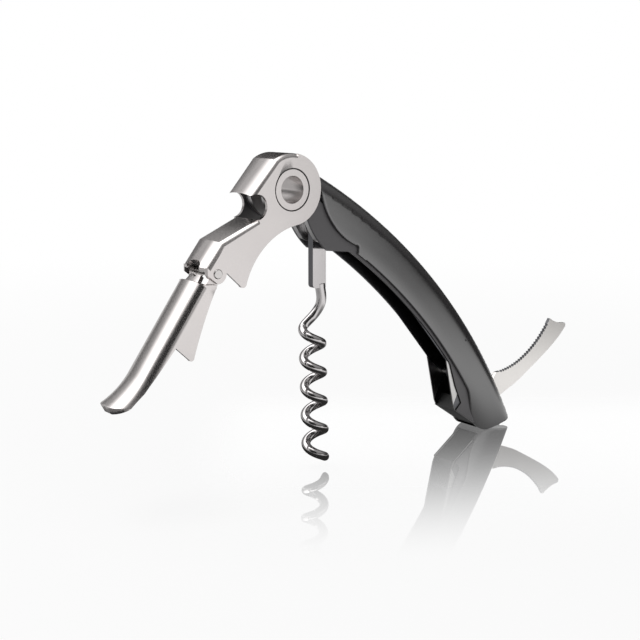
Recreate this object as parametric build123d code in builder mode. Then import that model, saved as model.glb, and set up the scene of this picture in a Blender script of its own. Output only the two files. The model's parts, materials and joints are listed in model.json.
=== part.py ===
"""Double-hinged waiter's corkscrew: two-step lever with cap lifter, coiled worm and foil knife.

Millimetres.  Origin: centre of the lever axle, on the mid-plane of the tool.
+X runs towards the handle's foot, +Z up, Y along every pivot.  The tool stands
half open, on the handle's foot and the tip of the worm.  The handle is an arc
about one centre, so its pieces are placed by a depth under the back and an angle.
"""
from build123d import *

import os
from math import atan2, cos, degrees, hypot, radians, sin

# ---- half widths and sheet thicknesses, measured across the tool (along Y) ----
worm_thick = 2.14
knife_thick = 1.2
washer_gap = 0.08
washer_thick = 1.35
cheek_thick = 1.55
liner_thick = 0.4
frame_thick = 0.4
lever_gap = 0.08
lever_sheet = 0.92
cover_wall = 0.9
neck_sheet = 0.9
running_fit = 0.05
seat_fit = 0.02

washer_in = worm_thick / 2 + washer_gap
cheek_in = washer_in + washer_thick
liner_in = cheek_in + cheek_thick
frame_in = liner_in + liner_thick
frame_out = frame_in + frame_thick
lever_in = frame_out + lever_gap
lever_out = lever_in + lever_sheet
cover_out = frame_out + cover_wall
neck_out = lever_in - lever_gap
neck_in = neck_out - neck_sheet
knife_side = knife_thick / 2 + running_fit

# ---- the handle's arc: the back's radius, and depths under the back ----
back_radius = 193.0
axle_depth = 8.1
axle_angle = 64.43
cover_depth = 13.0
lip_depth = 13.8
frame_top_depth = 6.8
liner_top_depth = 5.6

arc_centre = (
    -(back_radius - axle_depth) * cos(radians(axle_angle)),
    -(back_radius - axle_depth) * sin(radians(axle_angle)),
)
belly_radius = back_radius - cover_depth
lip_radius = back_radius - lip_depth


def around(centre, radius, angle):
    """Point of the side view at this radius and angle from a centre."""
    return (centre[0] + radius * cos(radians(angle)), centre[1] + radius * sin(radians(angle)))


def on_arc(radius, angle):
    """Point of the side view at this radius and angle from the handle's centre."""
    return around(arc_centre, radius, angle)


def under_back(depth, angle):
    """Point of the side view at this depth under the handle's back."""
    return on_arc(back_radius - depth, angle)


def head_point(radius, angle):
    """Point of the side view at this radius and angle from the axle."""
    return around((0, 0), radius, angle)


def beyond(pivot, offsets):
    """Points of the side view, given by their offsets from a pivot."""
    return [(pivot[0] + x, pivot[1] + z) for x, z in offsets]


# ---- lever axle ----
head_radius = 9.7
web_thick = 1.0
ear_clearance = 0.5
ear_radius = head_radius - web_thick - ear_clearance
axle_bore_radius = 3.7
axle_tube_radius = 4.6
axle_flange_radius = 5.5
axle_flange_recess = 5.84
axle_flange_thick = 0.5
axle_recess_depth = 0.55

# ---- upper lever, side view ----
bend_radius = 1.3
crown_end_angle = 78.0
crown_start_angle = 122.4
nose_tip = (-13.3, -0.9)
nose_inside = (-12.2, -0.5)
notch_floor = (-8.4, -3.9)
notch_end = (-11.2, -7.45)
web_knee = (-22.9, -12.5)
web_end = (-27.8, -18.7)
web_foot = (-27.8, -20.7)
hinge = (-24.3, -20.5)
lobe_radius = 2.7
throat_start = (2.0, -9.49)
throat_mid = (-9.3, -14.7)
throat_end = (-15.3, -23.9)
step_tip = (-16.4, -24.95)
step_lip = (-17.4, -24.3)
arch_half_width = 2.9
arch_height = 3.3
lever_closed_angle = 85.0
recess_gap = 0.4

# ---- lower lever, side view ----
rivet_radius = 1.0
rivet_head_radius = 1.3
rivet_head_thick = 0.35
tub_bend_radius = 1.9
shoulder_web = (-29.4, -22.6)
shoulder_belly = (-24.5, -23.35)
tub_curl = (-45.5, -45.0)
curl_radius = 21.2
curl_turn = 33.2
tub_tip = (-53.9, -54.0)
tub_rim = (-47.0, -48.5)
tub_belly = (-37.6, -38.2)
step_two_lip = (-33.6, -41.9)
step_two_tip = (-32.8, -42.4)
step_two_heel = (-32.0, -41.6)
step_two_throat = (-28.2, -31.3)
tub_end_radius = 5.2
neck_lobe_radius = 2.45
neck_web_angle = 209.4
neck_belly_angle = -51.5
joggle_inset = 0.25
joggle_thick = 0.9
joggle_from = 0.3
joggle_to = 0.97
tongue_tip = (-26.9, -21.2)
tongue_half_base = 3.4
tongue_half_tip = 2.4
tongue_cut_radius = 0.9
tongue_from = 0.06

# ---- worm ----
worm_pivot = (13.0, -10.5)
worm_pin_radius = 1.3
worm_eye_radius = 3.2
worm_washer_radius = 3.4
shank_left = 10.6
shank_right = 15.3
shank_end = -28.7
shank_corner_radius = 1.2
wire_radius = 1.22
coil_radius = 2.72
coil_pitch = 8.55
coil_start = -40.5
coil_turns = 4.0
coil_phase = 141.5
coil_axis_x = 11.15
coil_lean = 1.8
point_turns = 0.55
lead_bow = (12.7, 2.0, -37.0)
tip_radius = 0.3

# ---- frame plates and liners, side view ----
ear_left_top = (5.6, -7.2)
ear_left_mid = (9.0, -13.7)
ear_left_end = (12.8, -17.7)
ear_heel = (17.9, -18.3)
ear_heel_run = 0.9
ear_back_inset = 1.0
ear_back_lean = 14.0
cheek_eye_radius = 5.2
frame_flare_angle = 37.5
frame_flare_depth = 16.17
frame_toe_depth = 17.23
frame_flare_mid = under_back(frame_flare_depth, 35.03)
frame_toe = under_back(frame_toe_depth, 32.95)
liner_flare_angle = 45.2
liner_flare_depth = 15.94
liner_toe_depth = 20.02
liner_flare_mid = under_back(liner_flare_depth, 38.12)
liner_toe = under_back(liner_toe_depth, 33.47)
foot_corner_depth = 20.3
foot_line_depth = 14.59
foot_heel_depth = 7.29
foot_corner = under_back(foot_corner_depth, 32.78)
foot_line_end = under_back(foot_line_depth, 28.89)
foot_heel = under_back(foot_heel_depth, 28.11)
foot_heel_rise = 0.6

# ---- foot block ----
block_height = 4.4
block_heel_height = 1.4
pocket_half_width = 1.7
pocket_floor = 0.9
pocket_from = 0.2
pocket_reach = 6.0

# ---- cover, side view ----
crown_corner = 4.7
cover_top_angle = 62.6
cover_end_angle = 26.5
cover_top = (9.0, 2.7)
curl_start_angle = 33.67
cover_curl = [(1.3, 32.27), (2.91, 30.62), (2.34, 28.99), (-0.38, 28.04)]
cover_toe_depth = 8.27
back_corner_depth = 0.12
inside_front_depth = 14.65
inside_back_rise = 0.87
open_front_depth = 30.5
cover_toe = under_back(cover_toe_depth, 27.54)
cover_back_corner = under_back(back_corner_depth, 26.78)
base_inside_front = under_back(inside_front_depth, 28.79)
base_inside_back = under_back(-inside_back_rise, 26.96)
open_front = under_back(open_front_depth, 30.7)
open_side_depth = 6.0
hollow_side_depth = 12.0

# ---- knife, its offsets taken from the pivot ----
knife_pivot_depth = 5.51
knife_pivot = under_back(knife_pivot_depth, 29.49)
knife_pin_radius = 1.0
tang_radius = 3.3
knife_washer_radius = 2.0
slot_gap = 0.25
slot_depth = 4.4
slot_top_angle = 45.5
knife_heel = (0.2, 3.1)
knife_edge = [
    (4.9, 9.3), (8.9, 9.6), (14.3, 10.9), (19.7, 13.4), (24.2, 16.5), (28.2, 20.3), (31.4, 24.3)
]
knife_scoop = (34.9, 22.6)
knife_beak = [(38.9, 21.9), (39.7, 21.3), (39.5, 20.3)]
knife_spine = [(35.7, 16.8), (28.6, 12.0), (20.1, 7.1), (14.0, 3.9), (8.5, 1.7), (1.8, -2.7)]
tooth_from = 0.08
tooth_to = 0.96
tooth_pitch = 1.15
tooth_radius = 0.42

# ---- channel floor and knife spring ----
floor_depth = 4.7
floor_thick = 1.2
floor_top_angle = 57.5
floor_end_angle = 32.0
spring_depth = 12.1
spring_thick = 0.8
spring_half_width = 1.2
spring_top_angle = 35.8
spring_end_angle = 29.6
spring_rivet_angle = 35.2
spring_rivet_radius = 0.9

floor_radius = back_radius - floor_depth
spring_radius = back_radius - spring_depth
spring_rivet = on_arc(spring_radius + spring_thick / 2, spring_rivet_angle)
clear_radius = 1.3 * back_radius


def angle_of(point):
    """Angle of a side-view point about the handle's centre."""
    return degrees(atan2(point[1] - arc_centre[1], point[0] - arc_centre[0]))


def rail(radius, start, end):
    """Arc of the handle's side view between two angles."""
    return ThreePointArc(on_arc(radius, start), on_arc(radius, (start + end) / 2), on_arc(radius, end))


def length_of(line):
    """Length of a line of the side view."""
    return hypot(line[1][0] - line[0][0], line[1][1] - line[0][1])


def share(line, part):
    """Point at this share of a line of the side view."""
    (x1, z1), (x2, z2) = line
    return (x1 + (x2 - x1) * part, z1 + (z2 - z1) * part)


def beside(line, distance):
    """The line shifted to its left by this distance."""
    (x1, z1), (x2, z2) = line
    shift_x = -(z2 - z1) / length_of(line) * distance
    shift_z = (x2 - x1) / length_of(line) * distance
    return ((x1 + shift_x, z1 + shift_z), (x2 + shift_x, z2 + shift_z))


def crossing(first, second):
    """Where two lines of the side view meet, each given by two points."""
    (x1, z1), (x2, z2) = first
    (x3, z3), (x4, z4) = second
    slope = (x1 - x2) * (z3 - z4) - (z1 - z2) * (x3 - x4)
    one = x1 * z2 - z1 * x2
    two = x3 * z4 - z3 * x4
    return ((one * (x3 - x4) - (x1 - x2) * two) / slope, (one * (z3 - z4) - (z1 - z2) * two) / slope)


def side_plane(y):
    """Side-view plane at this Y, whose extrusions run towards -Y."""
    return Plane.XZ.offset(-y)


def radial_plane(angle):
    """Plane through the handle's centre: x outwards, y across the tool."""
    return Plane(
        origin=(arc_centre[0], 0, arc_centre[1]),
        x_dir=(cos(radians(angle)), 0, sin(radians(angle))),
        z_dir=(-sin(radians(angle)), 0, cos(radians(angle))),
    )


def square_to(line):
    """Plane square to a line at its start: x to the line's right, y across the tool."""
    (x1, z1), (x2, z2) = line
    return Plane(origin=(x1, 0, z1), x_dir=(z2 - z1, 0, x1 - x2), z_dir=(x2 - x1, 0, z2 - z1))


def flat_on(line):
    """Plane that holds a line at its start: x along the line, y across the tool."""
    (x1, z1), (x2, z2) = line
    return Plane(origin=(x1, 0, z1), x_dir=(x2 - x1, 0, z2 - z1), z_dir=(z2 - z1, 0, x1 - x2))


handle_axis = Axis((arc_centre[0], 0, arc_centre[1]), (0, -1, 0))


def bend_corners(half_width, radius):
    """What a bend takes off both edges of a sheet: x inwards from the web, y across."""
    with BuildSketch() as corners:
        with Locations((radius / 2, half_width), (radius / 2, -half_width)):
            Rectangle(radius, 2 * radius)
        with Locations((-radius / 2, 0)):
            Rectangle(radius, 2 * half_width + 2 * radius)
        with Locations((radius, half_width - radius), (radius, radius - half_width)):
            Circle(radius, mode=Mode.SUBTRACT)
        Rectangle(3 * radius, 2 * (half_width - radius), mode=Mode.SUBTRACT)
    return corners.sketch


def upper_lever_outline():
    """Side view of the upper lever: head disc, cap lifter, first step, hinge lobe."""
    lobe_bottom = around(hinge, lobe_radius, 270)
    lobe_front = around(hinge, lobe_radius, 2)
    with BuildSketch() as outline:
        with BuildLine():
            ThreePointArc(throat_start, (head_radius, 0), head_point(head_radius, crown_start_angle))
            Line(head_point(head_radius, crown_start_angle), nose_tip)
            Line(nose_tip, nose_inside)
            ThreePointArc(nose_inside, notch_floor, notch_end)
            Polyline(notch_end, web_knee, web_end, web_foot, lobe_bottom)
            ThreePointArc(lobe_bottom, around(hinge, lobe_radius, -44), lobe_front)
            Line(lobe_front, step_lip)
            ThreePointArc(step_lip, step_tip, throat_end)
            ThreePointArc(throat_end, throat_mid, throat_start)
        make_face()
    return outline.sketch


def write(piece, name):
    """Label a finished piece and write it as its own file."""
    piece.part.label = name
    export_step(piece.part, f"parts/{name}.step")


os.makedirs("parts", exist_ok=True)

# ============================ upper lever ============================
# Folded from one sheet: two side plates joined by a web along the outer edge.
crown_start = head_point(head_radius, crown_start_angle)
crown_next = beside(((0, 0), crown_start), -head_radius)[1]
crown_mid_angle = (crown_end_angle + crown_start_angle) / 2
nose_line = (nose_tip, crown_start)
upper_web_line = (web_knee, notch_end)
lower_web_line = (web_end, web_knee)
nose_within = beside(nose_line, -web_thick)
upper_within = beside(upper_web_line, -web_thick)
lower_within = beside(lower_web_line, -web_thick)
crown_within = head_radius - web_thick

with BuildPart() as upper_lever:
    with BuildSketch(side_plane(lever_out)):
        add(upper_lever_outline())
    extrude(amount=2 * lever_out)
    # Rounded bends along the web, and round the crown of the head.
    for web_line in (nose_line, upper_web_line, lower_web_line):
        with BuildSketch(square_to(web_line)):
            add(bend_corners(lever_out, bend_radius))
        extrude(amount=length_of(web_line), mode=Mode.SUBTRACT)
    with BuildSketch(square_to((crown_start, crown_next))):
        add(bend_corners(lever_out, bend_radius))
    revolve(axis=Axis.Y, revolution_arc=crown_start_angle - crown_end_angle, mode=Mode.SUBTRACT)
    # Everything between the side plates but the web.
    with BuildSketch(side_plane(lever_in)):
        with BuildLine():
            Line(head_point(2 * head_radius, crown_end_angle), head_point(crown_within, crown_end_angle))
            ThreePointArc(
                head_point(crown_within, crown_end_angle),
                head_point(crown_within, crown_mid_angle),
                head_point(crown_within, crown_start_angle),
            )
            Polyline(
                head_point(crown_within, crown_start_angle),
                nose_within[0],
                (nose_within[0][0], notch_floor[1]),
                upper_within[1],
                crossing(upper_within, lower_within),
                lower_within[0],
                (web_foot[0] - head_radius, web_foot[1]),
                (web_foot[0] - head_radius, 2 * step_tip[1]),
                (2 * head_radius, 2 * step_tip[1]),
                (2 * head_radius, 2 * head_radius),
                head_point(2 * head_radius, crown_end_angle),
            )
        make_face()
    extrude(amount=2 * lever_in, mode=Mode.SUBTRACT)
    # Arch in the end of the web, which clears the lower lever's tongue.
    with BuildSketch(flat_on(lower_web_line)):
        with Locations((arch_height / 2 - arch_half_width, 0)):
            SlotOverall(arch_height + 2 * arch_half_width, 2 * arch_half_width)
    extrude(amount=web_thick, both=True, mode=Mode.SUBTRACT)
    with BuildSketch(side_plane(lever_out)):
        Circle(axle_tube_radius + running_fit)
        with Locations(hinge):
            Circle(rivet_radius + seat_fit)
    extrude(amount=2 * lever_out, mode=Mode.SUBTRACT)
    # Recesses that sink the axle's flange and ring flush with the plates.
    for face_y in (lever_out, axle_recess_depth - lever_out):
        with BuildSketch(side_plane(face_y)):
            Circle(axle_flange_recess)
        extrude(amount=axle_recess_depth, mode=Mode.SUBTRACT)
write(upper_lever, "upper_lever")

with BuildPart() as hinge_rivet:
    with BuildSketch(side_plane(lever_out)):
        with Locations(hinge):
            Circle(rivet_radius)
    extrude(amount=2 * lever_out)
    for face_y in (lever_out + rivet_head_thick, -lever_out):
        with BuildSketch(side_plane(face_y)):
            with Locations(hinge):
                Circle(rivet_head_radius)
        extrude(amount=rivet_head_thick)
    rims = hinge_rivet.edges().filter_by(GeomType.CIRCLE).group_by(Axis.Y)
    chamfer(rims[0] + rims[-1], length=rivet_head_thick / 2)
write(hinge_rivet, "hinge_rivet")

# ============================ lower lever ============================
# A tub pressed from one sheet, with a second step, and a joggled neck that
# enters the upper lever and turns on the rivet.
tub_line = (shoulder_web, tub_curl)
tub_within = beside(tub_line, web_thick)
curl_centre = beside(tub_line, -curl_radius)[1]
curl_from = degrees(atan2(tub_curl[1] - curl_centre[1], tub_curl[0] - curl_centre[0]))
curl_mid = around(curl_centre, curl_radius, curl_from - curl_turn / 2)
curl_end = around(curl_centre, curl_radius, curl_from - curl_turn)
curl_mid_within = around(curl_centre, curl_radius + web_thick, curl_from - curl_turn / 2)
curl_end_within = around(curl_centre, curl_radius + web_thick, curl_from - curl_turn)
tip_plane = flat_on((curl_end, share((curl_mid, curl_end), 2)))
tub_length = length_of(tub_line) + length_of((tub_curl, curl_end))
shoulder_line = (shoulder_web, shoulder_belly)
joggle_top = beside(shoulder_line, -joggle_inset)
joggle_bottom = beside(shoulder_line, -joggle_inset - joggle_thick)
neck_root = beside(shoulder_line, -joggle_inset - joggle_thick / 2)
tongue_line = (share(joggle_bottom, tongue_from), tongue_tip)
tongue_length = length_of(tongue_line)


def tub_plan(half_width, end_radius, inset):
    """Lower lever seen square to its tip: straight sides and a rounded end."""
    with BuildSketch() as plan:
        with Locations((-tub_length / 2 - end_radius - inset, 0)):
            Rectangle(tub_length, 2 * half_width)
        with Locations((-end_radius - inset, 0)):
            Ellipse(end_radius, half_width)
    return plan.sketch


with BuildPart() as tub_hollow:
    with BuildSketch(side_plane(lever_in)):
        with BuildLine():
            Line(tub_within[0], tub_within[1])
            ThreePointArc(tub_within[1], curl_mid_within, curl_end_within)
            Polyline(
                curl_end_within,
                (tub_tip[0], 2 * tub_tip[1]),
                (0, 2 * tub_tip[1]),
                (0, 0),
                (tub_within[0][0], 0),
                tub_within[0],
            )
        make_face()
    extrude(amount=2 * lever_in)
    with BuildSketch(tip_plane):
        add(tub_plan(lever_in, tub_end_radius - lever_sheet / 2, lever_sheet))
    extrude(amount=tub_length, both=True, mode=Mode.INTERSECT)
    with BuildSketch(square_to((tub_within[1], tub_within[0]))):
        add(bend_corners(lever_in, tub_bend_radius - lever_sheet))
    extrude(amount=length_of(tub_within) + web_thick, mode=Mode.SUBTRACT)
    with BuildSketch(square_to((tub_within[1], tub_within[0]))):
        add(bend_corners(lever_in, tub_bend_radius - lever_sheet))
    revolve(
        axis=Axis((curl_centre[0], 0, curl_centre[1]), (0, 1, 0)),
        revolution_arc=curl_turn,
        mode=Mode.SUBTRACT,
    )

with BuildPart() as lower_lever:
    with BuildSketch(side_plane(lever_out)):
        with BuildLine():
            Line(shoulder_web, tub_curl)
            ThreePointArc(tub_curl, curl_mid, curl_end)
            Polyline(curl_end, tub_tip, tub_rim, tub_belly, step_two_lip)
            ThreePointArc(step_two_lip, step_two_tip, step_two_heel)
            ThreePointArc(step_two_heel, step_two_throat, shoulder_belly)
            Line(shoulder_belly, shoulder_web)
        make_face()
    extrude(amount=2 * lever_out)
    with BuildSketch(tip_plane):
        add(tub_plan(lever_out, tub_end_radius, 0))
    extrude(amount=tub_length, both=True, mode=Mode.INTERSECT)
    # Rounded bends along the web, and round its curl to the tip.
    with BuildSketch(square_to((tub_curl, shoulder_web))):
        add(bend_corners(lever_out, tub_bend_radius))
    extrude(amount=length_of(tub_line), mode=Mode.SUBTRACT)
    with BuildSketch(square_to((tub_curl, shoulder_web))):
        add(bend_corners(lever_out, tub_bend_radius))
    revolve(
        axis=Axis((curl_centre[0], 0, curl_centre[1]), (0, 1, 0)),
        revolution_arc=curl_turn,
        mode=Mode.SUBTRACT,
    )
    add(tub_hollow.part, mode=Mode.SUBTRACT)
    # Joggle: a step inside the shoulder that joins the tub to its narrower neck.
    for face_y in (lever_out - joggle_inset, -neck_in):
        with BuildSketch(side_plane(face_y)):
            with BuildLine():
                Polyline(
                    share(joggle_top, joggle_from),
                    joggle_top[1],
                    joggle_bottom[1],
                    share(joggle_bottom, joggle_from),
                    close=True,
                )
            make_face()
        extrude(amount=lever_out - joggle_inset - neck_in)
    # Neck plates, each with a lobe round the rivet.
    for face_y in (neck_out, -neck_in):
        with BuildSketch(side_plane(face_y)):
            with Locations(hinge):
                Circle(neck_lobe_radius)
            with BuildLine():
                Polyline(
                    share(neck_root, joggle_from),
                    share(neck_root, joggle_to),
                    around(hinge, neck_lobe_radius, neck_belly_angle),
                    around(hinge, neck_lobe_radius, neck_web_angle),
                    close=True,
                )
            make_face()
        extrude(amount=neck_sheet)
    # Tongue of the web between the neck plates.
    with BuildSketch(flat_on(tongue_line)):
        with BuildLine():
            Polyline(
                (0, tongue_half_base),
                (tongue_length, tongue_half_tip),
                (tongue_length, -tongue_half_tip),
                (0, -tongue_half_base),
                close=True,
            )
        make_face()
        with Locations((tongue_length, 0)):
            Circle(tongue_cut_radius, mode=Mode.SUBTRACT)
    extrude(amount=web_thick)
    with BuildSketch(side_plane(neck_out)):
        with Locations(hinge):
            Circle(rivet_radius + running_fit)
    extrude(amount=2 * neck_out, mode=Mode.SUBTRACT)
write(lower_lever, "lower_lever")

# ============================ worm ============================
# Flat shank with an eye, drawn out into a round wire coiled to the left.
lean_x = sin(radians(coil_lean))
lean_z = -cos(radians(coil_lean))
coil_height = coil_pitch * coil_turns
coil_origin = (coil_axis_x, 0, coil_start)
point_origin = (coil_axis_x + lean_x * coil_height, 0, coil_start + lean_z * coil_height)
lead_start = (shank_right - wire_radius, 0, shank_end + wire_radius)


def wire_turns(turns, origin, phase):
    """Left-hand helix of the wire's centre, down the leaning axis from a phase angle."""
    path = Helix(
        pitch=coil_pitch, height=coil_pitch * turns, radius=coil_radius, center=origin,
        direction=(lean_x, 0, lean_z), lefthand=True, mode=Mode.PRIVATE,
    )
    start = path @ 0
    made_phase = degrees(atan2(start.Y, start.X - origin[0]))
    return path.rotate(Axis(origin, (lean_x, 0, lean_z)), made_phase - phase)


coil_path = wire_turns(coil_turns, coil_origin, coil_phase)
point_path = wire_turns(point_turns, point_origin, coil_phase + 360 * coil_turns)

with BuildPart() as worm:
    with BuildLine() as lead:
        Spline(lead_start, lead_bow, coil_path @ 0, tangents=((0, 0, -1), coil_path % 0))
    with BuildSketch(Plane(origin=lead_start, z_dir=(0, 0, -1))):
        Circle(wire_radius)
    sweep(path=lead.line)
    with BuildSketch(Plane(origin=coil_path @ 0, z_dir=coil_path % 0)):
        Circle(wire_radius)
    sweep(path=coil_path, is_frenet=True)
    # The last half turn tapers to the point.
    with BuildSketch(Plane(origin=point_path @ 0, z_dir=point_path % 0)):
        Circle(wire_radius)
    with BuildSketch(Plane(origin=point_path @ 1, z_dir=point_path % 1)):
        Circle(tip_radius)
    sweep(path=point_path, is_frenet=True, multisection=True)
    with BuildSketch(side_plane(worm_thick / 2)):
        with Locations(worm_pivot):
            Circle(worm_eye_radius)
        with BuildLine():
            Polyline(
                (shank_left, worm_pivot[1]),
                (shank_right, worm_pivot[1]),
                (shank_right, shank_end),
                (shank_left, shank_end),
                close=True,
            )
        make_face()
        shank_corner = vertices().group_by(Axis.Y)[0].sort_by(Axis.X)[0]
        fillet(shank_corner, radius=shank_corner_radius)
        with Locations(worm_pivot):
            Circle(worm_pin_radius + running_fit, mode=Mode.SUBTRACT)
    extrude(amount=worm_thick)
write(worm, "worm")

# ============================ frame and liners ============================


def plate_outline(plate_back_radius, lip_flare):
    """Side view of a frame plate or a liner: ear, throat, lip, foot and back."""
    back_start = angle_of(head_point(ear_radius - ear_back_inset, ear_back_lean))
    back_end = angle_of(foot_heel) + foot_heel_rise
    lip_start = angle_of(ear_heel) - ear_heel_run
    with BuildSketch() as outline:
        Circle(ear_radius)
        with BuildLine():
            Line((0, 0), ear_left_top)
            ThreePointArc(ear_left_top, ear_left_mid, ear_left_end)
            Polyline(ear_left_end, ear_heel, on_arc(lip_radius, lip_start))
            rail(lip_radius, lip_start, lip_flare[0])
            Polyline(on_arc(lip_radius, lip_flare[0]), *lip_flare[1:], foot_corner, foot_line_end, foot_heel)
            Line(foot_heel, on_arc(plate_back_radius, back_end))
            rail(plate_back_radius, back_end, back_start)
            Line(on_arc(plate_back_radius, back_start), (0, 0))
        make_face()
    return outline.sketch


frame_outline = plate_outline(back_radius - frame_top_depth, (frame_flare_angle, frame_flare_mid, frame_toe))
liner_outline = plate_outline(back_radius - liner_top_depth, (liner_flare_angle, liner_flare_mid, liner_toe))

for name, face_y in (("frame_near", -frame_in), ("frame_far", frame_out)):
    with BuildPart() as frame_plate:
        with BuildSketch(side_plane(face_y)):
            add(frame_outline)
            Circle(axle_tube_radius + seat_fit, mode=Mode.SUBTRACT)
        extrude(amount=frame_thick)
    write(frame_plate, name)

for name, face_y in (("liner_near", -liner_in), ("liner_far", frame_in)):
    with BuildPart() as liner:
        with BuildSketch(side_plane(face_y)):
            add(liner_outline)
            Circle(axle_tube_radius + seat_fit, mode=Mode.SUBTRACT)
            with Locations(worm_pivot):
                Circle(worm_pin_radius + seat_fit, mode=Mode.SUBTRACT)
            with Locations(knife_pivot):
                Circle(knife_pin_radius + seat_fit, mode=Mode.SUBTRACT)
            with Locations(spring_rivet):
                Circle(spring_rivet_radius + seat_fit, mode=Mode.SUBTRACT)
        extrude(amount=liner_thick)
    write(liner, name)

# Cheeks: thick plates beside the worm, between the axle and the start of the channel.
for name, face_y in (("cheek_near", -cheek_in), ("cheek_far", liner_in)):
    with BuildPart() as cheek:
        with BuildSketch(side_plane(face_y)):
            Circle(ear_radius)
            with Locations(worm_pivot):
                Circle(cheek_eye_radius)
            make_hull()
            add(frame_outline, mode=Mode.INTERSECT)
            Circle(axle_tube_radius + seat_fit, mode=Mode.SUBTRACT)
            with Locations(worm_pivot):
                Circle(worm_pin_radius + seat_fit, mode=Mode.SUBTRACT)
        extrude(amount=cheek_thick)
    write(cheek, name)

# ============================ pins, rivet and washers ============================
pin_half = frame_in - seat_fit
for name, place, radius in (
    ("worm_pin", worm_pivot, worm_pin_radius),
    ("knife_pin", knife_pivot, knife_pin_radius),
    ("spring_pin", spring_rivet, spring_rivet_radius),
):
    with BuildPart() as pin:
        with BuildSketch(side_plane(pin_half)):
            with Locations(place):
                Circle(radius)
        extrude(amount=2 * pin_half)
    write(pin, name)

for name, place, radius, hole, outer_y, inner_y in (
    ("worm_washer_near", worm_pivot, worm_washer_radius, worm_pin_radius, -washer_in, -cheek_in),
    ("worm_washer_far", worm_pivot, worm_washer_radius, worm_pin_radius, cheek_in, washer_in),
    ("knife_washer_near", knife_pivot, knife_washer_radius, knife_pin_radius, -knife_side, -liner_in),
    ("knife_washer_far", knife_pivot, knife_washer_radius, knife_pin_radius, liner_in, knife_side),
):
    with BuildPart() as washer:
        with BuildSketch(side_plane(outer_y)):
            with Locations(place):
                Circle(radius)
                Circle(hole + seat_fit, mode=Mode.SUBTRACT)
        extrude(amount=outer_y - inner_y)
    write(washer, name)

# Axle: an open tube with a flange on the near side, and a ring pressed on at the far side.
flange_face = lever_out - axle_recess_depth + axle_flange_thick
with BuildPart() as axle_sleeve:
    with BuildSketch(side_plane(flange_face)):
        Circle(axle_tube_radius)
        Circle(axle_bore_radius, mode=Mode.SUBTRACT)
    extrude(amount=2 * flange_face)
    with BuildSketch(side_plane(axle_flange_thick - flange_face)):
        Circle(axle_flange_radius)
        Circle(axle_bore_radius, mode=Mode.SUBTRACT)
    extrude(amount=axle_flange_thick)
write(axle_sleeve, "axle_sleeve")

with BuildPart() as axle_ring:
    with BuildSketch(side_plane(flange_face)):
        Circle(axle_flange_radius)
        Circle(axle_tube_radius + seat_fit, mode=Mode.SUBTRACT)
    extrude(amount=axle_flange_thick)
write(axle_ring, "axle_ring")

# ============================ foot block and channel floor ============================
# The block closes the foot between the liners, with a pocket for knife and spring.
foot_line = (foot_corner, foot_line_end)
heel_line = (foot_line_end, foot_heel)
block_top = beside(foot_line, block_height)
pocket_line = beside(foot_line, pocket_floor)
pocket_heel_line = beside(heel_line, pocket_floor)
pocket_heel = (foot_heel[0] + pocket_reach, pocket_heel_line[1][1])
with BuildPart() as foot_block:
    with BuildSketch(side_plane(liner_in - seat_fit)):
        with BuildLine():
            Polyline(
                foot_corner,
                foot_line_end,
                foot_heel,
                (foot_heel[0], foot_heel[1] + block_heel_height),
                block_top[1],
                block_top[0],
                close=True,
            )
        make_face()
    extrude(amount=2 * (liner_in - seat_fit))
    with BuildSketch(side_plane(pocket_half_width)):
        with BuildLine():
            Polyline(
                share(pocket_line, pocket_from),
                crossing(pocket_line, pocket_heel_line),
                pocket_heel_line[1],
                pocket_heel,
                (pocket_heel[0], pocket_heel[1] + 2 * block_height),
                beside(foot_line, 2 * block_height)[0],
                close=True,
            )
        make_face()
    extrude(amount=2 * pocket_half_width, mode=Mode.SUBTRACT)
write(foot_block, "foot_block")

# Channel floor: a strip under the crown of the cover, slotted for the folded knife.
with BuildPart() as channel_floor:
    with BuildSketch(radial_plane(floor_end_angle)):
        with Locations((floor_radius + floor_thick / 2, 0)):
            Rectangle(floor_thick, 2 * (liner_in - seat_fit))
    revolve(axis=handle_axis, revolution_arc=floor_top_angle - floor_end_angle)
    with BuildSketch(radial_plane(floor_end_angle - 1)):
        with Locations((floor_radius, 0)):
            Rectangle(3 * floor_thick, knife_thick + 2 * slot_gap)
    revolve(axis=handle_axis, revolution_arc=slot_top_angle - floor_end_angle + 1, mode=Mode.SUBTRACT)
write(channel_floor, "channel_floor")

# ============================ handle cover ============================
# Moulded shell over the frame: straight sides, a crowned back, open along the belly.
sweep_from = cover_end_angle - 3
sweep_arc = cover_top_angle - cover_end_angle + 6
curl_points = [on_arc(belly_radius - deeper, angle) for deeper, angle in cover_curl]
lever_closed_plane = Plane(
    origin=(0, 0, 0),
    x_dir=(cos(radians(lever_closed_angle)), 0, sin(radians(lever_closed_angle))),
    z_dir=(0, -1, 0),
)


def crown_section(half_width, crown_radius, open_radius, corner):
    """Section of the handle: a bar with both corners of its back rounded."""
    with BuildSketch() as section:
        with Locations(((crown_radius + open_radius) / 2, 0)):
            Rectangle(crown_radius - open_radius, 2 * half_width)
        fillet(section.vertices().group_by(Axis.X)[-1], radius=corner)
    return section.sketch


with BuildPart() as cover_hollow:
    with BuildSketch(radial_plane(sweep_from)):
        add(crown_section(
            frame_out, back_radius - cover_wall, belly_radius - hollow_side_depth, crown_corner - cover_wall
        ))
    revolve(axis=handle_axis, revolution_arc=sweep_arc)
    with BuildSketch(side_plane(lever_out)):
        with BuildLine():
            Polyline(
                base_inside_back,
                base_inside_front,
                open_front,
                (0, 2 * foot_heel[1]),
                head_point(2 * head_radius, 180),
                on_arc(clear_radius, cover_top_angle),
                on_arc(clear_radius, (cover_top_angle + cover_end_angle) / 2),
                on_arc(clear_radius, angle_of(base_inside_back)),
                close=True,
            )
        make_face()
    extrude(amount=2 * lever_out, mode=Mode.INTERSECT)

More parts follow.
